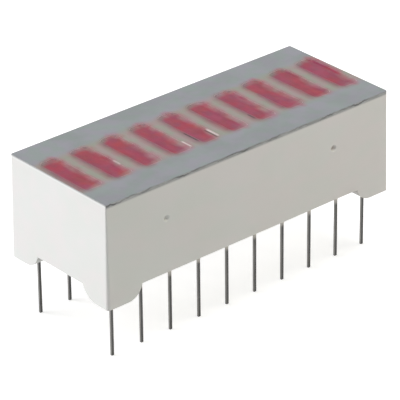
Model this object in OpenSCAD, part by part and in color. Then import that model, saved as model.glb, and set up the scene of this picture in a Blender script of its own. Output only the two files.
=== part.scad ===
// Ten-segment LED bar graph in a 20-pin dual in-line package.
// Z = 0 is the plane of the four feet, which stand on the printed circuit board.
// X runs along the row of segments and Y across it. The anode leads, pins 1 to 10,
// are on the -Y side, and the cathode leads, pins 20 to 11, face them on the +Y side.

/* [Segments] */
// Number of segments in the bar
segments = 10; // [5:1:10]
// Distance from one segment, and one lead, to the next
pitch = 2.54; // [2.3:0.02:3]
// Length of a segment, across the package
segment_l = 5.08; // [4:0.02:5.6]
// Width of a segment, along the package
segment_w = 1.52; // [1.2:0.02:1.8]
// Corner radius of the windows in the film
window_r = 0.45; // [0.1:0.05:0.5]

/* [Housing] */
// Distance from the end leads to the ends of the housing
end_margin = 1.27; // [1.25:0.01:2]
// Distance from each row of leads to the long side of the housing
side_margin = 1.27; // [1.25:0.01:2]
// Height of the moulding from its feet to its face
body_h = 7.48; // [6:0.02:10]
// Draft of the outer walls on each side, over the full height
draft = 0.14; // [0.02:0.02:0.3]
// Thickness of the walls round the pocket, and of the feet
wall = 1; // [0.8:0.05:1.05]
// Radius of the upright edges at the face, which grows by the draft down to the feet
corner_r = 0.1; // [0.05:0.01:0.3]
// Depth of the pocket behind the wells, from the rim
pocket_depth = 1.6; // [1:0.05:2.5]

/* [Feet] */
// Height of the feet below the rim
foot_h = 1; // [0.6:0.05:1.5]
// Flat length of each foot along the long walls
foot_l = 1.75; // [1.2:0.05:3]
// Shoulder radius of the feet on the long walls
foot_r = 1.2; // [0.6:0.05:1.8]
// Flat width of the anode-side feet along the end walls
anode_foot_w = 1.2; // [1:0.05:1.8]
// Shoulder radius of the anode-side feet on the end walls
anode_foot_r = 1.5; // [0.8:0.05:2]
// Flat width of the cathode-side feet along the end walls
cathode_foot_w = 1.6; // [1:0.05:2]
// Shoulder radius of the cathode-side feet on the end walls
cathode_foot_r = 1.2; // [0.8:0.05:2]

/* [Mould marks] */
// Distance from each end of the housing to a mark on the anode side
mark_inset = 5.2; // [3:0.1:6]
// Height of the marks above the feet
mark_z = 5; // [3:0.1:5.5]
// Radius of a mark where it meets the wall
mark_r = 0.25; // [0.1:0.01:0.4]
// Radius of a mark at its bottom
mark_tip_r = 0.08; // [0.04:0.01:0.09]
// Depth of a mark
mark_depth = 0.2; // [0.05:0.01:0.3]

/* [Light wells] */
// Length of a well where it opens on the leads
well_l = 2.4; // [2.2:0.1:3.6]
// Width of a well where it opens on the leads
well_w = 1; // [0.75:0.05:1.15]

/* [Face film] */
// Thickness of the film
film_t = 0.22; // [0.1:0.02:0.5]

/* [Light bars] */
// How far the middle of a bar lies below the film's face
bar_sink = 0.08; // [0.04:0.01:0.15]
// How far the edge of a bar lies below the film's face
edge_sink = 0.02; // [0.01:0.01:0.03]
// Width of the slope where the cast resin climbs from the middle to the edge
slope_w = 0.18; // [0.05:0.01:0.3]

/* [Leads] */
// Distance between the two rows of leads
row_gap = 7.62; // [7.4:0.02:9]
// Thickness of the lead frame's sheet
sheet_t = 0.15; // [0.12:0.01:0.25]
// Width of a lead
lead_w = 0.2; // [0.16:0.01:0.3]
// Length of the leads below the feet
lead_below = 4.35; // [2.5:0.05:8]
// Inner radius of the bend inside the pocket
bend_r = 0.2; // [0.1:0.05:0.5]
// Side of the square pad that carries a die
die_pad = 0.7; // [0.5:0.05:0.74]
// Side of the square pad that takes a bond wire
bond_pad = 0.4; // [0.3:0.05:0.5]

/* [Dies and wires] */
// Side of an LED die
die_w = 0.3; // [0.2:0.02:0.4]
// Height of an LED die
die_h = 0.25; // [0.1:0.01:0.35]
// Diameter of a bond wire
wire_d = 0.05; // [0.03:0.01:0.08]
// Distance from the middle of a die to the middle of its bond pad
bond_reach = 0.8; // [0.75:0.05:0.9]

/* [Potting] */
// How far the potting stays above the rim of the pocket
potting_sink = 0.15; // [0.05:0.05:0.4]
// How far the potting climbs down a lead
climb_h = 1; // [0.4:0.05:1.1]
// Gap between that cone's root and the nearest wall
climb_gap = 0.02; // [0.01:0.01:0.04]
// Thickness of the cone's tip on the corners of a lead
climb_skin = 0.02; // [0.01:0.01:0.03]

/* [Hidden] */
// Overshoot of a cutting tool past the face it cuts
over = 0.5;
$fn = 64;

body_l = (segments - 1) * pitch + 2 * end_margin;
body_w = row_gap + 2 * side_margin;
top_l = body_l - 2 * draft;
top_w = body_w - 2 * draft;
foot_corner_r = corner_r + draft;
pocket_l = body_l - 2 * wall;
pocket_w = body_w - 2 * wall;
row_y = row_gap / 2;

// Levels, from the feet up
potting_z = foot_h + potting_sink;
frame_z = foot_h + pocket_depth; // top of the lead frame, where the wells open
film_z = body_h;
face_z = film_z + film_t;
bar_z = face_z - bar_sink;

bend_outer_r = bend_r + sheet_t;
climb_tip_r = norm([lead_w, sheet_t]) / 2 + climb_skin;
climb_root_r = min(end_margin, side_margin) - wall - climb_gap;

white = [0.92, 0.92, 0.89];
grey = [0.56, 0.59, 0.6];
crimson = [0.68, 0.29, 0.37];
tin = [0.55, 0.55, 0.52];
gold = [0.85, 0.65, 0.25];
chip = [0.75, 0.35, 0.3];
resin = [0.86, 0.84, 0.76];

function segment_x(i) = (i - (segments + 1) / 2) * pitch;

// Half the housing's width at a height above the feet
function side_y(z) = body_w / 2 - draft * z / body_h;

// --- Shapes -----------------------------------------------------------------

module centred_box(l, w, z0, z1)
    translate([-l / 2, -w / 2, z0]) cube([l, w, z1 - z0]);

// A slab that runs along Y, its two sides leaning between the sections [width, level]
module leaning_slab(sections, reach) {
    right = [for (s = sections) [s[0] / 2, s[1]]];
    left = [for (k = [len(sections) - 1:-1:0]) [-sections[k][0] / 2, sections[k][1]]];
    rotate([90, 0, 0]) linear_extrude(reach, center = true) polygon(concat(right, left));
}

// A block whose four sides lean between the sections [length, width, level]
module leaning_block(sections) {
    reach = 2 * max([for (s = sections) max(s[0], s[1])]);
    intersection() {
        leaning_slab([for (s = sections) [s[0], s[2]]], reach);
        rotate(90) leaning_slab([for (s = sections) [s[1], s[2]]], reach);
    }
}

// A round taper from the origin up to a height, and then straight on by a further length
module tapered_plug(tip_r, root_r, h, further)
    rotate_extrude()
        polygon([[0, 0], [tip_r, 0], [root_r, h], [root_r, h + further], [0, h + further]]);

module round_rect(l, w, r) {
    square([l - 2 * r, w], center = true);
    square([l, w - 2 * r], center = true);
    for (sx = [-1, 1], sy = [-1, 1])
        translate([sx * (l / 2 - r), sy * (w / 2 - r)]) circle(r);
}

// Outline of a foot's shoulder, from the end of its flat at the origin back to -X
module shoulder(r) {
    translate([0, r]) circle(r);
    translate([-r, r]) square([2 * r, foot_h + over]);
}

// Opening under a wall, between the flats of a left foot and of a right foot
module foot_opening(left_x, left_r, right_x, right_r)
    difference() {
        translate([left_x, -over]) square([right_x - left_x, foot_h + over]);
        translate([left_x, 0]) mirror([1, 0]) shoulder(left_r);
        translate([right_x, 0]) shoulder(right_r);
    }

// --- Housing ----------------------------------------------------------------

// What rounds off the upright edge at +X +Y: the draft makes the round an upright cone
module corner_cutter()
    translate([top_l / 2 - corner_r, top_w / 2 - corner_r, 0])
        difference() {
            translate([0, 0, -over]) cube([foot_corner_r + over, foot_corner_r + over, body_h + 2 * over]);
            cylinder(h = body_h, r1 = foot_corner_r, r2 = corner_r);
        }

module housing_block()
    difference() {
        leaning_block([[body_l, body_w, 0], [top_l, top_w, body_h]]);
        for (mx = [0, 1], my = [0, 1]) mirror([mx, 0, 0]) mirror([0, my, 0]) corner_cutter();
    }

// A light well at the origin: it widens from the lead frame to the face, and runs on past both
module well()
    leaning_block([
        [well_w, well_l, frame_z - over],
        [well_w, well_l, frame_z],
        [segment_w, segment_l, film_z],
        [segment_w, segment_l, face_z + over]
    ]);

module openings_between_feet() {
    foot_x = body_l / 2 - foot_l;
    rotate([90, 0, 0])
        linear_extrude(body_w + 2 * over, center = true)
            foot_opening(-foot_x, foot_r, foot_x, foot_r);
    rotate([90, 0, 90])
        linear_extrude(body_l + 2 * over, center = true)
            foot_opening(anode_foot_w - body_w / 2, anode_foot_r,
                         body_w / 2 - cathode_foot_w, cathode_foot_r);
}

module mould_mark()
    translate([0, mark_depth - side_y(mark_z), mark_z])
        rotate([90, 0, 0]) tapered_plug(mark_tip_r, mark_r, mark_depth, over);

module reflector_housing()
    color(white)
        difference() {
            housing_block();
            centred_box(pocket_l, pocket_w, -over, frame_z);
            for (i = [1:segments]) translate([segment_x(i), 0, 0]) well();
            openings_between_feet();
            for (side = [-1, 1]) translate([side * (body_l / 2 - mark_inset), 0, 0]) mould_mark();
        }

// --- Face film and light bars -----------------------------------------------

module face_film()
    color(grey)
        translate([0, 0, film_z])
            linear_extrude(film_t)
                difference() {
                    round_rect(top_l, top_w, corner_r);
                    for (i = [1:segments])
                        translate([segment_x(i), 0]) round_rect(segment_w, segment_l, window_r);
                }

// The hollow over a bar, whose slopes meet the sides of the window at the edge's level
module bar_hollow() {
    hollow_w = segment_w - 2 * slope_w;
    hollow_l = segment_l - 2 * slope_w;
    outer_w = segment_w + 2 * slope_w;
    outer_l = segment_l + 2 * slope_w;
    outer_z = bar_z + 2 * (bar_sink - edge_sink);
    leaning_block([
        [hollow_w, hollow_l, bar_z],
        [outer_w, outer_l, outer_z],
        [outer_w, outer_l, outer_z + over]
    ]);
}

// The resin that fills a well and its window in the film, round the die and the wire
module light_bar(i)
    color(crimson)
        difference() {
            intersection() {
                translate([segment_x(i), 0, 0]) well();
                centred_box(body_l, body_w, frame_z, face_z);
            }
            translate([segment_x(i), 0, 0]) bar_hollow();
            face_film();
            led_die(i, over);
            bond_wire(i, over);
        }

// --- Dies and wires ---------------------------------------------------------

// Root is how far a die or a wire runs on into its seat where it cuts its own place
module led_die(i, root = 0)
    color(chip)
        translate([segment_x(i), 0, 0])
            centred_box(die_w, die_w, frame_z - root, frame_z + die_h);

// Half a loop from the top of the die, then straight down to the anode lead
module bond_wire(i, root = 0)
    color(gold)
        translate([segment_x(i), 0, frame_z]) {
            translate([0, -bond_reach / 2, die_h])
                rotate([90, 0, 90])
                    rotate_extrude(angle = 180)
                        translate([bond_reach / 2, 0]) circle(d = wire_d);
            translate([0, -bond_reach, 0]) cylinder(h = die_h, d = wire_d);
            if (root > 0) {
                cylinder(h = die_h, d = wire_d);
                translate([0, -bond_reach, -root]) cylinder(h = root + die_h / 2, d = wire_d);
            }
        }

// --- Leads ------------------------------------------------------------------

// Side view of a lead on the -Y side: leg, bend, and the arm that ends at tip_y.
// Rise is how far the arm runs on above the lead frame where it cuts its own place.
module lead_profile(tip_y, rise) {
    leg_y = -row_y - sheet_t / 2;
    bend_y = leg_y + bend_outer_r;
    bend_z = frame_z - bend_outer_r;
    translate([leg_y, -lead_below]) square([sheet_t, bend_z + lead_below]);
    translate([bend_y, bend_z])
        intersection() {
            difference() {
                circle(bend_outer_r);
                circle(bend_r);
            }
            translate([-bend_outer_r, 0]) square(bend_outer_r);
        }
    translate([bend_y, frame_z - sheet_t]) square([tip_y - bend_y, sheet_t + rise]);
}

// A lead on the -Y side whose arm ends in a square pad centred at pad_y
module lead(pad, pad_y, rise)
    color(tin) {
        rotate([90, 0, 90])
            linear_extrude(lead_w, center = true) lead_profile(pad_y, rise);
        translate([0, pad_y, 0]) centred_box(pad, pad, frame_z - sheet_t, frame_z + rise);
    }

module anode_lead(i, rise = 0)
    translate([segment_x(i), 0, 0]) lead(bond_pad, -bond_reach, rise);

module cathode_lead(i, rise = 0)
    translate([segment_x(i), 0, 0]) rotate(180) lead(die_pad, 0, rise);

// --- Potting ----------------------------------------------------------------

module back_potting()
    color(resin)
        difference() {
            union() {
                centred_box(pocket_l, pocket_w, potting_z, frame_z);
                for (i = [1:segments], side = [-1, 1])
                    translate([segment_x(i), side * row_y, potting_z - climb_h])
                        tapered_plug(climb_tip_r, climb_root_r, climb_h, over);
            }
            for (i = [1:segments]) {
                anode_lead(i, over);
                cathode_lead(i, over);
            }
        }

// --- Nodes ------------------------------------------------------------------

function each_segment(name) = [for (i = [1:segments]) str(name, "_", i)];

reflector_housing();
face_film();
back_potting();
for (i = [1:segments]) {
    light_bar(i);
    led_die(i);
    bond_wire(i);
    anode_lead(i);
    cathode_lead(i);
}
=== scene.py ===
"""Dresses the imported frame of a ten-segment LED bar graph: materials, floor, lights and camera."""

import math

import bpy
from mathutils import Matrix, Vector


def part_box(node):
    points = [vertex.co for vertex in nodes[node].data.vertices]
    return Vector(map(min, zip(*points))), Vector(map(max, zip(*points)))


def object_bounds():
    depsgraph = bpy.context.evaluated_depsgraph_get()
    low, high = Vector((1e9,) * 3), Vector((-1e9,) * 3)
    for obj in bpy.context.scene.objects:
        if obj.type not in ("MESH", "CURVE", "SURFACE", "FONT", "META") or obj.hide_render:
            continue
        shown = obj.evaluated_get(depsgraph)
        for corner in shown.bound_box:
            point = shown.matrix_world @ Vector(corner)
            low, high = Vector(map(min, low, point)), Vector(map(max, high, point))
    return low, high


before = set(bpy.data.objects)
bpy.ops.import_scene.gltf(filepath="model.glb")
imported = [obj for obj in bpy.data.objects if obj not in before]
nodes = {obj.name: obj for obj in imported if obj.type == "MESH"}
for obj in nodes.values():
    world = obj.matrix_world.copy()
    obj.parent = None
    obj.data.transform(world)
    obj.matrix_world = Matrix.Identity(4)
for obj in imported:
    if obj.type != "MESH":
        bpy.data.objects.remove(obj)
cad_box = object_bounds()

MM = 0.001
SEGMENTS = 10


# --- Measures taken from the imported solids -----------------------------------

low, high = (Vector(corner) for corner in cad_box)
centre = (low + high) / 2
film_low, film_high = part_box("face_film")
bar_low, bar_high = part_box("light_bar_1")
next_low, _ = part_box("light_bar_2")

# In millimetres, for the materials. There is one window in the film for each light bar.
film_bottom = film_low.z / MM
film_top = film_high.z / MM
film_side = film_high.y / MM
pitch = (next_low.x - bar_low.x) / MM
first_x = (bar_low.x + bar_high.x) / 2 / MM
half_width = (bar_high.x - bar_low.x) / 2 / MM
half_length = (bar_high.y - bar_low.y) / 2 / MM


# --- Camera ------------------------------------------------------------------
# The lens and the sensor are in millimetres, and other lengths in metres.

AZIMUTH = math.radians(-40.85)
ELEVATION = math.radians(27.96)
ROLL = math.radians(-0.62)
DISTANCE = 202.35 * MM
AIM_RIGHT = -0.23 * MM
AIM_UP = 0.03 * MM
LENS = 266
SENSOR_WIDTH = 36
CLIP_START = 0.01
CLIP_END = 10


def direction(azimuth, elevation):
    """Unit vector from the object towards a viewer; azimuth 0 looks along +Y."""
    return Vector((
        math.sin(azimuth) * math.cos(elevation),
        -math.cos(azimuth) * math.cos(elevation),
        math.sin(elevation),
    ))


def make_camera():
    """The scene's camera, aimed a little beside the part's centre."""
    back = direction(AZIMUTH, ELEVATION)
    level = Vector((math.cos(AZIMUTH), math.sin(AZIMUTH), 0))
    plumb = back.cross(level)
    target = centre + AIM_RIGHT * level + AIM_UP * plumb
    right = math.cos(ROLL) * level + math.sin(ROLL) * plumb
    up = back.cross(right)
    data = bpy.data.cameras.new("camera")
    data.lens = LENS
    data.sensor_width = SENSOR_WIDTH
    data.clip_start = CLIP_START
    data.clip_end = CLIP_END
    camera = bpy.data.objects.new("camera", data)
    turn = Matrix((right, up, back)).transposed().to_4x4()
    camera.matrix_world = Matrix.Translation(target + DISTANCE * back) @ turn
    bpy.context.scene.collection.objects.link(camera)
    bpy.context.scene.camera = camera


# --- Node helpers ------------------------------------------------------------
# An argument may be a socket or a plain value. Lengths are in millimetres and colours are linear.
# A tint is what a colour is multiplied by.

NO_TINT = (1, 1, 1)

# Nearly all of a noise's values lie in its range. A step over the narrower core has more contrast.
NOISE_RANGE = (0.3, 0.7)
NOISE_CORE = (0.35, 0.65)
NOISE_MIDDLE = 0.5

# Between these parts of its direction, a surface turns from facing across an axis to facing along it.
WALL_TURN = (0.5, 0.8)

# A Mix node has sockets for every kind of value. These are the ones that a mix of colours uses.
MIX_FACTOR = 0
MIX_FIRST = 6
MIX_SECOND = 7
MIX_RESULT = 2


class Tree:
    """The nodes of one material or world, and a few calls that keep them short to write."""

    def __init__(self, owner, output="ShaderNodeOutputMaterial"):
        owner.use_nodes = True
        self.owner = owner
        self.tree = owner.node_tree
        self.tree.nodes.clear()
        self.surface = self.node(output).inputs["Surface"]

    def node(self, kind, **settings):
        made = self.tree.nodes.new(kind)
        for name, setting in settings.items():
            setattr(made, name, setting)
        return made

    def put(self, socket, value):
        """Links the value to the socket if it is one too, and otherwise sets it there."""
        if isinstance(value, bpy.types.NodeSocket):
            self.tree.links.new(value, socket)
        elif isinstance(value, tuple) and len(value) == 3 and len(socket.default_value) == 4:
            socket.default_value = (*value, 1)
        else:
            socket.default_value = value

    def shader(self, kind, sockets):
        """A shader with these sockets set or linked, by their names."""
        made = self.node(kind)
        for name, value in sockets.items():
            self.put(made.inputs[name], value)
        return made.outputs[0]

    def either(self, factor, first, second):
        """The first shader where the factor is 0, and the second where it is 1."""
        made = self.node("ShaderNodeMixShader")
        for socket, value in zip(made.inputs, (factor, first, second)):
            self.put(socket, value)
        return made.outputs[0]

    def math(self, operation, *values):
        made = self.node("ShaderNodeMath", operation=operation)
        for socket, value in zip(made.inputs, values):
            self.put(socket, value)
        return made.outputs[0]

    def plus(self, total, *others):
        for value in others:
            total = self.math("ADD", total, value)
        return total

    def minus(self, value, other):
        return self.math("SUBTRACT", value, other)

    def times(self, value, other):
        return self.math("MULTIPLY", value, other)

    def size(self, value):
        """The value without its sign."""
        return self.math("ABSOLUTE", value)

    def ramp(self, value, start, end, low=0.0, high=1.0):
        """A smooth step of the value from start to end, onto low to high."""
        made = self.node("ShaderNodeMapRange", interpolation_type="SMOOTHSTEP")
        for socket, number in zip(made.inputs, (value, start, end, low, high)):
            self.put(socket, number)
        return made.outputs[0]

    def vary(self, noise, low, high):
        """A number that follows the noise from low to high."""
        return self.ramp(noise, *NOISE_RANGE, low, high)

    def mix(self, factor, first, second, blend="MIX"):
        made = self.node("ShaderNodeMix", data_type="RGBA", blend_type=blend)
        self.put(made.inputs[MIX_FACTOR], factor)
        self.put(made.inputs[MIX_FIRST], first)
        self.put(made.inputs[MIX_SECOND], second)
        return made.outputs[MIX_RESULT]

    def blend(self, noise, first, second, span=NOISE_CORE):
        """The first colour where the noise is low, and the second where it is high."""
        return self.mix(self.ramp(noise, *span), first, second)

    def tinted(self, colour, tint):
        return self.mix(1.0, colour, tint, "MULTIPLY")

    def mottle(self, colour, noise, first, second):
        """The colour, with the first tint where the noise is low and the second where it is high."""
        return self.tinted(colour, self.blend(noise, first, second))

    def grey(self, level):
        """The same number for all three parts of a colour."""
        made = self.node("ShaderNodeCombineXYZ")
        for socket in made.inputs:
            self.put(socket, level)
        return made.outputs[0]

    def place(self):
        """The point's place in the part's frame."""
        made = self.node("ShaderNodeVectorMath", operation="SCALE")
        self.put(made.inputs[0], self.node("ShaderNodeTexCoord").outputs["Object"])
        self.put(made.inputs["Scale"], 1 / MM)
        return made.outputs[0]

    def facing(self):
        """The surface's own direction."""
        return self.node("ShaderNodeNewGeometry").outputs["True Normal"]

    def parts(self, vector):
        """The three parts of a vector, in order or by their names X, Y and Z."""
        made = self.node("ShaderNodeSeparateXYZ")
        self.put(made.inputs[0], vector)
        return made.outputs

    def sway(self, noise, amount):
        """The noise about zero, times an amount."""
        return self.times(self.minus(noise, NOISE_MIDDLE), amount)

    def faces(self, axis, turn=WALL_TURN):
        """1 where the surface faces either way along the axis, and 0 where it faces across it."""
        return self.ramp(self.size(self.parts(self.facing())[axis]), *turn)

    def stretch(self, vector, scale=(1, 1, 1), shift=(0, 0, 0)):
        """The vector scaled along each axis and moved, so that each noise can have its own pattern."""
        made = self.node("ShaderNodeMapping")
        self.put(made.inputs["Vector"], vector)
        self.put(made.inputs["Scale"], scale)
        self.put(made.inputs["Location"], shift)
        return made.outputs[0]

    def noise(self, vector, size, detail=2.0, roughness=0.5):
        """Noise whose features are about size across."""
        made = self.node("ShaderNodeTexNoise")
        self.put(made.inputs["Vector"], vector)
        self.put(made.inputs["Scale"], 1 / size)
        self.put(made.inputs["Detail"], detail)
        self.put(made.inputs["Roughness"], roughness)
        return made.outputs["Fac"]

    def bump(self, height, depth, normal=None):
        """A bump that is depth high where height is 1, on the surface's own or another normal."""
        made = self.node("ShaderNodeBump")
        self.put(made.inputs["Strength"], 1.0)
        self.put(made.inputs["Distance"], depth * MM)
        self.put(made.inputs["Height"], height)
        if normal is not None:
            self.put(made.inputs["Normal"], normal)
        return made.outputs[0]

    def finish(self, sockets):
        """The material, with a principled shader on its surface."""
        self.put(self.surface, self.shader("ShaderNodeBsdfPrincipled", sockets))
        return self.owner


# --- Housing -----------------------------------------------------------------

# Painted light: the long walls drift from one tint to the other between two places in x, just beyond
# their ends, paler to +X.
WHITE = (0.815, 0.811, 0.795)
YELLOWED_WHITE = (0.803, 0.8, 0.775)
WHITE_MOTTLE = ((0.985, 1.0, 0.99), (1.015, 0.995, 1.0))
END_WALL_TINT = (0.966, 0.966, 0.966)
LONG_WALL_PAINTED_LIGHT = ((0.93, 0.938, 0.935), (1.045, 1.03, 1.04))
LONG_WALL_LIGHT_DRIFT = (-15, 13)

# Painted shade shows a little way below the film on the long walls, darkest at the film itself.
UNDER_FILM_SHADE = (0.5, 0.505, 0.5)
UNDER_FILM_SHADE_DEPTH = 0.13
UNDER_FILM_SHADE_STRENGTH = 0.7

# The mould marks lie at both +MARK_X and -MARK_X. Their painted shade fades out between two distances
# from the middle, and has one strength in the mark at -X and another in the one at +X.
MARK_X = 7.5
MARK_Z = 5.0
MARK_FADE = (0.1, 0.26)
MARK_SHADE = (0.15, 1)
MARK_SHADE_TINT = (0.8, 0.76, 0.74)


def mark_shade(t, x, y, z):
    """The painted shade in the two mould marks in the long wall at -Y, and 0 elsewhere."""
    along = t.minus(t.size(x), MARK_X)
    up = t.minus(z, MARK_Z)
    off = t.math("SQRT", t.plus(t.times(along, along), t.times(up, up)))
    amount = t.ramp(x, -MARK_X, MARK_X, *MARK_SHADE)
    near_wall = t.math("LESS_THAN", y, 0)
    return t.times(t.ramp(off, *MARK_FADE, 1, 0), t.times(amount, near_wall))


def housing_plastic():
    """Slightly cloudy white; its long walls are painted paler to +X as painted light, with painted
    shade below the film and in the two mould marks.
    """
    t = Tree(bpy.data.materials.new("moulded_white"))
    at = t.place()
    x, y, z = t.parts(at)
    long_wall = t.faces("Y")
    cloud = t.noise(at, size=6.0, detail=3)
    blush = t.noise(t.stretch(at, scale=(0.5, 1, 1), shift=(9, 4, 2)), size=1.6)
    grain = t.noise(at, size=0.09, detail=3, roughness=0.6)
    colour = t.mottle(t.blend(cloud, WHITE, YELLOWED_WHITE), blush, *WHITE_MOTTLE)
    # Painted light along the long walls, paler to +X.
    drift = t.mix(t.ramp(x, *LONG_WALL_LIGHT_DRIFT), *LONG_WALL_PAINTED_LIGHT)
    colour = t.tinted(colour, t.mix(long_wall, END_WALL_TINT, drift))
    # Painted shade below the film on the long walls.
    under_film_shade = t.ramp(t.minus(film_bottom, z), 0, UNDER_FILM_SHADE_DEPTH, UNDER_FILM_SHADE_STRENGTH, 0)
    colour = t.mix(t.times(under_film_shade, long_wall), colour, UNDER_FILM_SHADE)
    # Painted shade in the two mould marks.
    colour = t.tinted(colour, t.mix(mark_shade(t, x, y, z), NO_TINT, MARK_SHADE_TINT))
    return t.finish({
        "Base Color": colour,
        "Roughness": t.vary(grain, 0.42, 0.55),
        "Normal": t.bump(cloud, depth=0.03, normal=t.bump(grain, depth=0.004)),
    })


# --- The lit face: film, windows and the red glow ----------------------------

# Streaks at the windows' long edges. The glints are painted highlights, and the slits are small gaps
# with painted shade in them. Window from 1, x from its middle, y, half length and strength.
GLINTS = (
    (2, 0.78, -0.7, 0.45, 0.45),
    (4, 0.83, -1.78, 0.6, 0.8),
    (5, 0.74, -1.62, 0.75, 0.8),
)
SHADED_SLITS = (
    (5, -0.83, -1.18, 0.9, 1),
    (5, 0.6, -1.62, 0.8, 0.6),
    (7, -0.84, -1.62, 0.45, 0.9),
)
# The colour of the painted highlights, and the colour of the painted shade in the slits.
GLINT = (0.62, 0.56, 0.54)
SLIT_SHADE = (0.05, 0.02, 0.025)
STREAK_FADE = (0.02, 0.1)
STREAK_FULL_SHARE = 0.6

# Two whole numbers are the same if they differ by less than this.
SAME_NUMBER = 0.5


class Windows:
    """Where a point lies against the nearest window: its number from 0, and x from its middle."""

    def __init__(self, t, x, y):
        self.t = t
        self.y = y
        along = t.minus(x, first_x)
        self.number = t.math("ROUND", t.math("DIVIDE", along, pitch))
        self.offset = t.minus(along, t.times(self.number, pitch))

    def outside(self, corner_r, back_x=0.0, back_y=0.0, trim=0.0):
        """Distance outside a window with this corner radius; negative inside.

        Back_x and back_y move the window to -X and -Y, and trim shortens it at both ends.
        """
        t = self.t
        past_x = t.minus(t.size(t.plus(self.offset, back_x)), half_width - corner_r)
        past_y = t.minus(t.size(t.plus(self.y, back_y)), half_length - trim - corner_r)
        round_x = t.math("MAXIMUM", past_x, 0)
        round_y = t.math("MAXIMUM", past_y, 0)
        corner = t.math("SQRT", t.plus(t.times(round_x, round_x), t.times(round_y, round_y)))
        side = t.math("MINIMUM", t.math("MAXIMUM", past_x, past_y), 0)
        return t.minus(t.plus(corner, side), corner_r)

    def is_number(self, window):
        """1 where the nearest window is this one, counted from 1, and 0 elsewhere."""
        return self.t.math("COMPARE", self.number, window - 1, SAME_NUMBER)

    def streaks(self, places):
        """The strength of the streaks at these places; 0 elsewhere."""
        t = self.t
        total = 0.0
        for window, x, y, reach, strength in places:
            off_x = t.size(t.minus(self.offset, x))
            off_y = t.size(t.minus(self.y, y))
            across = t.ramp(off_x, *STREAK_FADE, 1, 0)
            along = t.ramp(off_y, reach * STREAK_FULL_SHARE, reach, strength, 0)
            streak = t.times(self.is_number(window), t.times(across, along))
            total = t.plus(streak, total)
        return total


FILM_COOL = ((0.205, 0.221, 0.231), (0.235, 0.25, 0.265))
COOL_MOTTLE = ((0.95, 1.02, 0.95), (1.05, 0.985, 1.05))
FILM_WARM = (0.262, 0.23, 0.207)
WARM_MOTTLE = ((0.91, 1.06, 0.97), (1.08, 0.95, 1.03))

# The warm tone fades from inside the windows' ends to outside them.
WARM_INSIDE = 0.5
WARM_OUTSIDE = 0.4
WARM_SWAY = 0.6


def film_tone(t, at, y):
    """The film's face: bluish grey outside the row of windows and warmer between them."""
    cloud = t.noise(at, size=2.2, detail=3)
    hue = t.noise(t.stretch(at, shift=(3, 8, 1)), size=1.1, detail=3)
    cool = t.mottle(t.blend(cloud, *FILM_COOL), hue, *COOL_MOTTLE)
    warm = t.mottle(FILM_WARM, hue, *WARM_MOTTLE)
    from_middle = t.plus(t.size(y), t.sway(hue, WARM_SWAY))
    outer = t.ramp(from_middle, half_length - WARM_INSIDE, half_length + WARM_OUTSIDE)
    return t.mix(outer, warm, cool)


RESIN = ((0.224, 0.02, 0.061), (0.244, 0.015, 0.039))
RESIN_MOTTLE = ((0.88, 1, 0.94), (1.12, 0.9, 1.02))
PATCH = (0.263, 0.022, 0.031)
PATCH_SPAN = (0.48, 0.72)
PATCH_STRENGTH = 0.8
PINK_TINT = (1, 1.35, 1.13)
PINK_FROM_MIDDLE = (1.5, 2.1)


def resin_tone(t, at, y):
    """The red resin, with purple drifts and brighter patches, and a little pinker towards both ends."""
    drift = t.noise(t.stretch(at, scale=(1, 0.8, 1)), size=1.6)
    patch = t.noise(t.stretch(at, scale=(1, 0.6, 1), shift=(4, 7, 0)), size=0.8, detail=3)
    shade = t.noise(t.stretch(at, scale=(1, 0.7, 1), shift=(2, 5, 0)), size=0.7, detail=3)
    colour = t.mix(t.ramp(patch, *PATCH_SPAN, 0, PATCH_STRENGTH), t.blend(drift, *RESIN), PATCH)
    colour = t.mottle(colour, shade, *RESIN_MOTTLE)
    return t.tinted(colour, t.mix(t.ramp(t.size(y), *PINK_FROM_MIDDLE), NO_TINT, PINK_TINT))


# The glow of a window: its corner radius, how far it sits to -X and -Y of the window, how much further
# to -X for each millimetre towards -Y, and how much shorter it is at each end.
GLOW_R = 0.65
GLOW_BACK_X = 0.18
GLOW_BACK_Y = 0.02
GLOW_LEAN = 0.04
GLOW_TRIM = 0.02

# How far its edge sways over the whole noise, on the -X side and on the +X side.
EDGE_SWAY = (0.6, 1.2)

# Where its outline changes, in x from the window's middle and in y, and by how much. A negative
# amount lets the glow reach further out. For the full corners, y may have either sign.
CUT_CORNER = 0.06
CUT_CORNER_Y = (1.5, 2.6)
FULL_CORNERS = -0.13
FULL_CORNERS_X = (0.05, 0.4)
FULL_CORNERS_Y = (1.4, 2.2)
SPILL = -0.3
SPILL_X = (0.3, 0.7)
SPILL_Y = (-1.7, -0.5)


def past_glow(t, at, windows, plus_side):
    """Distance outside the glow of the nearest window; negative inside.

    The glow's edge sways, most on the +X side. Its two corners there are full, the one at -X and +Y
    is cut, and the last window's glow spills on towards the film's end.
    """
    y = windows.y
    back_x = t.minus(GLOW_BACK_X, t.times(y, GLOW_LEAN))
    edge = windows.outside(GLOW_R, back_x, GLOW_BACK_Y, GLOW_TRIM)
    noise = t.noise(t.stretch(at, scale=(1, 0.5, 1)), size=1.1, detail=4, roughness=0.55)
    sway = t.sway(noise, t.ramp(plus_side, 0, 1, *EDGE_SWAY))
    cut_corner = t.times(t.minus(1, plus_side), t.ramp(y, *CUT_CORNER_Y, 0, CUT_CORNER))
    at_ends = t.ramp(t.size(y), *FULL_CORNERS_Y, 0, FULL_CORNERS)
    full_corners = t.times(t.ramp(windows.offset, *FULL_CORNERS_X), at_ends)
    spill = t.times(t.ramp(windows.offset, *SPILL_X, 0, SPILL), t.ramp(y, *SPILL_Y))
    last_spill = t.times(windows.is_number(SEGMENTS), spill)
    return t.plus(edge, sway, cut_corner, full_corners, last_spill)


# The change from a glow's -X side to its +X side, in x from the window's middle.
SIDES = (-0.35, 0.15)

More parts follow.
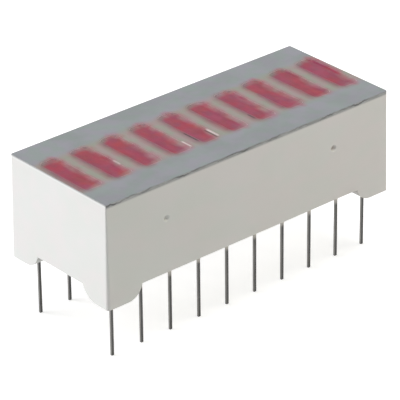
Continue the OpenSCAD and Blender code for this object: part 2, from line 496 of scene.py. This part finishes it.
# Where the red starts to fade, at the -X side, the +X side and the two ends, and where it ends.
SIDE_FADE_FROM = (-0.5, -0.34)
END_FADE_FROM = -0.6
END_FADE_Y = (1.6, 2.2)
FADE_TO = 0.5

# The line along the glow's edge, painted shade on the -X side and a painted highlight on the +X side:
# where it lies and its tint, on the -X side and on the +X side.
RIM_PLACES = (-0.1, 0.1)
RIM_PAINTED_LIGHT = ((0.84, 1, 1), (1.1, 1, 1.05))
RIM_REACH = 0.4


def face_tone(t, at, y, windows):
    """The whole lit face: a red glow at each window, film between them, and a soft uneven edge.

    The edge has painted shade on the -X side of a glow and a painted highlight on its +X side, and the
    streaks add painted highlights and painted shade.
    """
    plus_side = t.ramp(windows.offset, *SIDES)
    past = past_glow(t, at, windows, plus_side)
    side_from = t.ramp(plus_side, 0, 1, *SIDE_FADE_FROM)
    end_from = t.ramp(t.size(y), *END_FADE_Y, 0, END_FADE_FROM)
    fade = t.ramp(past, t.math("MINIMUM", side_from, end_from), FADE_TO)
    colour = t.mix(fade, resin_tone(t, at, y), film_tone(t, at, y))
    # Painted shade along the -X side of the edge and a painted highlight along its +X side.
    off_rim = t.size(t.minus(past, t.ramp(plus_side, 0, 1, *RIM_PLACES)))
    rim_painted_light = t.mix(plus_side, *RIM_PAINTED_LIGHT)
    colour = t.tinted(colour, t.mix(t.ramp(off_rim, 0, RIM_REACH), rim_painted_light, NO_TINT))
    # Painted shade in the slits, then painted highlights for the glints.
    colour = t.mix(windows.streaks(SHADED_SLITS), colour, SLIT_SHADE)
    return t.mix(windows.streaks(GLINTS), colour, GLINT)


# The line's places across the film's edge run from a little way in on the face, which is negative, to
# further down the side.
EDGE_LINE = (0.07, 0.07, 0.075)
EDGE_LINE_FADE = (0.02, 0.1)
EDGE_LINE_PLACES = (-0.06, 0.2)
EDGE_LINE_STRENGTHS = (0.1, 0.85)
BREAKS_SPAN = (0.36, 0.68)
ONLY_X = (1, 0, 0)


def edge_line(t, at, y, z):
    """The strength of the ragged dark line along the film's long upper edges."""
    below = t.minus(film_top, z)
    inside = t.minus(film_side, t.size(y))
    past = t.minus(below, inside)
    along = t.stretch(at, scale=ONLY_X, shift=(81, 0, 0))
    place = t.noise(along, size=2.0, detail=5, roughness=0.65)
    off = t.size(t.minus(past, t.vary(place, *EDGE_LINE_PLACES)))
    breaks = t.noise(t.stretch(at, scale=ONLY_X, shift=(31, 0, 0)), size=2.2, detail=3)
    strength = t.ramp(breaks, *BREAKS_SPAN, *EDGE_LINE_STRENGTHS)
    return t.times(t.ramp(off, *EDGE_LINE_FADE, 1, 0), strength)


FILM_CUT = ((0.48, 0.485, 0.495), (0.36, 0.365, 0.37))
FACE_TURN = (0.4, 0.6)

# The end walls of the film are painted pale below, a painted highlight, and turn grey over this height
# below the face.
FILM_END_HIGHLIGHT = ((0.82, 0.82, 0.8), (0.36, 0.365, 0.365))
FILM_END_HIGHLIGHT_FADE = 0.15

# The walls round a window lie within this reach of its outline. Their colours are painted light: the
# one that faces -X is darker, and the others are painted paler against the shade they stand in.
WINDOW_R = 0.45
WINDOW_REACH = 0.06
WINDOW_WALL_PAINTED_LIGHT = ((0.48, 0.3, 0.33), (0.84, 0.74, 0.76))
FACING_MINUS_X = (-1, -0.75)


def film_grey():
    """The face on top, streaky long edges, ends painted pale as a highlight, and reddish walls round
    the windows, painted paler where they face away from -X.
    """
    t = Tree(bpy.data.materials.new("face_film_grey"))
    at = t.place()
    x, y, z = t.parts(at)
    windows = Windows(t, x, y)
    end_wall = t.faces("X")
    cloud = t.noise(at, size=2.2, detail=3)
    streak = t.noise(t.stretch(at, scale=(0.5, 1, 1)), size=0.8, detail=4, roughness=0.6)
    grain = t.noise(at, size=0.12, detail=3, roughness=0.6)
    # Painted highlight: the film's ends are pale below and grey at the face.
    end_highlight = t.mix(t.ramp(z, film_top - FILM_END_HIGHLIGHT_FADE, film_top), *FILM_END_HIGHLIGHT)
    side = t.mix(end_wall, t.blend(streak, *FILM_CUT), end_highlight)
    # Painted light: the walls round the windows are paler where they face away from -X.
    towards_x = t.parts(t.facing())["X"]
    window_wall_light = t.mix(t.ramp(towards_x, *FACING_MINUS_X), *WINDOW_WALL_PAINTED_LIGHT)
    at_window = t.math("LESS_THAN", windows.outside(WINDOW_R), WINDOW_REACH)
    side = t.mix(at_window, side, window_wall_light)
    colour = t.mix(t.faces("Z", FACE_TURN), side, face_tone(t, at, y, windows))
    line = t.times(edge_line(t, at, y, z), t.minus(1, end_wall))
    colour = t.mix(line, colour, EDGE_LINE)
    return t.finish({
        "Base Color": colour,
        "Roughness": t.vary(cloud, 0.4, 0.52),
        "Specular IOR Level": 0.4,
        "Normal": t.bump(cloud, depth=0.02, normal=t.bump(grain, depth=0.003)),
    })


# Painted light: the slopes that face -Y are painted brighter, against their shade.
FACING_MINUS_Y = (-0.3, -0.1)
SLOPE_PAINTED_LIGHT = 1.2


def bar_resin():
    """The lit face again, on the cast resin in the film's windows."""
    t = Tree(bpy.data.materials.new("cast_red_resin"))
    at = t.place()
    x, y, _ = t.parts(at)
    ripple = t.noise(t.stretch(at, scale=(1, 0.5, 1), shift=(4, 7, 0)), size=0.7, detail=3)
    grain = t.noise(at, size=0.16, detail=3, roughness=0.6)
    towards_y = t.parts(t.facing())["Y"]
    # Painted light on the slopes that face -Y.
    level = t.ramp(towards_y, *FACING_MINUS_Y, SLOPE_PAINTED_LIGHT, 1)
    return t.finish({
        "Base Color": t.tinted(face_tone(t, at, y, Windows(t, x, y)), t.grey(level)),
        "Roughness": t.vary(ripple, 0.36, 0.46),
        "Specular IOR Level": 0.35,
        "Normal": t.bump(ripple, depth=0.02, normal=t.bump(grain, depth=0.004)),
    })


# --- Leads, potting, dies and wires ------------------------------------------

TIN = ((0.07, 0.07, 0.07), (0.11, 0.108, 0.104))
SHEARED_TIN = ((0.19, 0.19, 0.185), (0.26, 0.255, 0.245))
STAIN = (0.095, 0.09, 0.075)
STAIN_SPAN = (0.5, 0.75)
STAIN_STRENGTH = 0.6

# Painted light from the white body: a pale, non-metal band on each lead starts at the first height and
# is whole at the second.
LEAD_TOP_LIGHT = (0.6, 0.58, 0.53)
LEAD_TOP_LIGHT_Z = (-0.3, 0.12)
LEAD_TOP_LIGHT_SWAY = 0.35


def lead_tin():
    """Dull streaky tin, paler on the sheared sides, with a pale non-metal band near the body that is
    painted light from the white body.
    """
    t = Tree(bpy.data.materials.new("dull_tin"))
    at = t.place()
    streak = t.noise(t.stretch(at, scale=(1, 1, 0.12)), size=0.12, detail=3, roughness=0.6)
    cloud = t.noise(at, size=0.9, detail=3)
    stain = t.ramp(cloud, *STAIN_SPAN, 0, STAIN_STRENGTH)
    rolled = t.mix(stain, t.blend(streak, *TIN, NOISE_RANGE), STAIN)
    metal = t.mix(t.faces("X"), rolled, t.blend(streak, *SHEARED_TIN, NOISE_RANGE))
    # Painted light near the body.
    height = t.plus(t.parts(at)["Z"], t.sway(cloud, LEAD_TOP_LIGHT_SWAY))
    top_light = t.ramp(height, *LEAD_TOP_LIGHT_Z)
    return t.finish({
        "Base Color": t.mix(top_light, metal, LEAD_TOP_LIGHT),
        "Metallic": t.minus(1, top_light),
        "Roughness": t.vary(streak, 0.34, 0.5),
        "Normal": t.bump(streak, depth=0.003),
    })


POTTING = ((0.8, 0.78, 0.7), (0.72, 0.69, 0.6))
CHIP = ((0.5, 0.16, 0.1), (0.62, 0.3, 0.2))
GOLD = ((0.8, 0.55, 0.18), (0.95, 0.7, 0.3))


def back_resin():
    """Cloudy, slightly yellow, glossy resin."""
    t = Tree(bpy.data.materials.new("potting_resin"))
    at = t.place()
    cloud = t.noise(at, size=2.5, detail=3)
    ripple = t.noise(at, size=0.5)
    return t.finish({
        "Base Color": t.blend(cloud, *POTTING, NOISE_RANGE),
        "Roughness": t.vary(cloud, 0.2, 0.34),
        "Normal": t.bump(ripple, depth=0.03),
    })


def chip():
    """The reddish crystal of the dies."""
    t = Tree(bpy.data.materials.new("led_chip"))
    speck = t.noise(t.place(), size=0.03)
    return t.finish({
        "Base Color": t.blend(speck, *CHIP, NOISE_RANGE),
        "Roughness": 0.35,
        "Normal": t.bump(speck, depth=0.001),
    })


def gold_wire():
    """The drawn gold of the bond wires."""
    t = Tree(bpy.data.materials.new("gold_bond_wire"))
    streak = t.noise(t.place(), size=0.02)
    return t.finish({
        "Base Color": t.blend(streak, *GOLD, NOISE_RANGE),
        "Metallic": 1.0,
        "Roughness": 0.25,
        "Normal": t.bump(streak, depth=0.0005),
    })


# --- Floor, background and lights --------------------------------------------
# Lengths are in metres.

AMBIENT = 0.26
FLOOR_ALBEDO = 0.62
FLOOR_GLOW = 0.64
FLOOR_FADE = (0.05, 0.4)
FLOOR_SIZE = 1.2
LAMP_DISTANCE = 0.5
LAMP_SIZE = 0.3


def seen_directly(t):
    """1 for what the camera sees, straight, mirrored or through something; 0 for light on surfaces."""
    path = t.node("ShaderNodeLightPath").outputs
    seen = t.math("MAXIMUM", path["Is Camera Ray"], path["Is Glossy Ray"])
    return t.math("MAXIMUM", seen, path["Is Transmission Ray"])


def make_world():
    """A white background that gives only a plain soft light."""
    world = bpy.data.worlds.new("studio")
    t = Tree(world, "ShaderNodeOutputWorld")
    light = t.shader("ShaderNodeBackground", {"Color": (1, 1, 1), "Strength": AMBIENT})
    white = t.shader("ShaderNodeBackground", {"Color": (1, 1, 1), "Strength": 1})
    t.put(t.surface, t.either(seen_directly(t), light, white))
    bpy.context.scene.world = world


def make_floor():
    """A pale floor that takes shadows near the part, is white further out, and is clear from below."""
    t = Tree(bpy.data.materials.new("floor"))
    matt = t.shader("ShaderNodeBsdfDiffuse", {"Color": (FLOOR_ALBEDO, FLOOR_ALBEDO, FLOOR_ALBEDO)})
    away = t.node("ShaderNodeVectorMath", operation="LENGTH")
    t.put(away.inputs[0], t.node("ShaderNodeTexCoord").outputs["Object"])
    glow = t.shader("ShaderNodeEmission", {
        "Color": seen_directly(t),
        "Strength": t.ramp(away.outputs["Value"], *FLOOR_FADE, FLOOR_GLOW, 1),
    })
    both = t.node("ShaderNodeAddShader")
    t.put(both.inputs[0], matt)
    t.put(both.inputs[1], glow)
    clear = t.shader("ShaderNodeBsdfTransparent", {})
    from_below = t.node("ShaderNodeNewGeometry").outputs["Backfacing"]
    t.put(t.surface, t.either(from_below, both.outputs[0], clear))
    bpy.ops.mesh.primitive_plane_add(size=FLOOR_SIZE, location=(0, 0, low.z))
    floor = bpy.context.object
    floor.name = "floor"
    floor.data.materials.append(t.owner)


def make_lamp(name, azimuth, elevation, level, colour=(1, 1, 1)):
    """A square lamp that gives a surface facing it about level times its own colour."""
    data = bpy.data.lights.new(name, "AREA")
    data.size = LAMP_SIZE
    data.color = colour
    data.energy = level * (math.pi * LAMP_DISTANCE) ** 2
    lamp = bpy.data.objects.new(name, data)
    towards = direction(math.radians(azimuth), math.radians(elevation))
    lamp.location = centre + LAMP_DISTANCE * towards
    lamp.rotation_euler = towards.to_track_quat("Z", "Y").to_euler()
    bpy.context.scene.collection.objects.link(lamp)


# --- The scene ---------------------------------------------------------------


def dress(material, *names):
    for name in names:
        slots = nodes[name].data.materials
        slots.clear()
        slots.append(material)


def each(name):
    return [f"{name}_{i}" for i in range(1, SEGMENTS + 1)]


dress(housing_plastic(), "reflector_housing")
dress(film_grey(), "face_film")
dress(bar_resin(), *each("light_bar"))
dress(lead_tin(), *each("anode_lead"), *each("cathode_lead"))
dress(back_resin(), "back_potting")
dress(chip(), *each("led_die"))
dress(gold_wire(), *each("bond_wire"))

make_camera()
make_world()
make_floor()
make_lamp("key_lamp", azimuth=-138, elevation=20, level=0.98, colour=(0.97, 0.975, 1))
make_lamp("fill_lamp", azimuth=55, elevation=25, level=0.17, colour=(1, 0.92, 0.6))
make_lamp("top_lamp", azimuth=60, elevation=80, level=0.57)

bpy.context.scene.view_settings.view_transform = "Standard"
